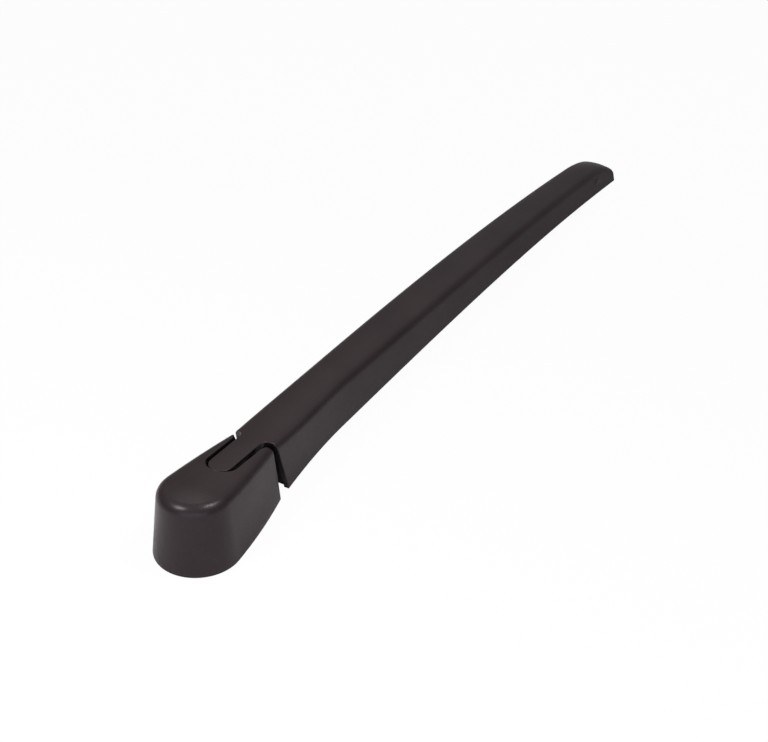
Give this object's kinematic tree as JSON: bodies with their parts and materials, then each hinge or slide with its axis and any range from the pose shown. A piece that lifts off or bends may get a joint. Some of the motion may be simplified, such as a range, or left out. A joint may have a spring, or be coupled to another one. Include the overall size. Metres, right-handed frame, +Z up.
{
  "type": "wiper arm",
  "caption": "Sprung rear wiper arm: moulded channel arm with rounded nose, hinged on a die-cast head under a flip-up round-fronted cap.",
  "frame": {"origin": "on the spindle axis, in the plane of the head's base and the cap's rim", "axes": "+X along the arm to its tip, +Z up along the spindle, away from the car"},
  "size_m": [0.3508, 0.0336, 0.0302],
  "materials": {
    "cap_moulding": "fine moulded grain, satin",
    "arm_moulding": "fine moulded grain, satin",
    "casting": "as cast",
    "pin_steel": "ground",
    "spring_steel": "drawn and zinc plated",
    "bush_bronze": "sintered"
  },
  "bodies": {
    "head": {"drive_head": "casting", "hinge_pin": "pin_steel", "head_anchor_pin": "pin_steel", "tension_spring": "spring_steel"},
    "arm": {"arm_shell": "arm_moulding", "hinge_bush": "bush_bronze", "arm_anchor_pin": "pin_steel", "blade_pin": "pin_steel"},
    "cover": {"cap": "cap_moulding"}
  },
  "joints": [
    {"name": "arm_lift", "type": "hinge", "parent": "head", "child": "arm", "pos_m": [0.0255, 0, 0.0195], "axis": [0, -1, 0], "range_deg": [0, 45], "stiffness_Nm_per_rad": 1.2, "springref_deg": -85.94, "deforming": ["tension_spring"]},
    {"name": "cap_open", "type": "hinge", "parent": "head", "child": "cover", "pos_m": [0.0255, 0, 0.0195], "axis": [0, 1, 0], "range_deg": [0, 60]}
  ]
}
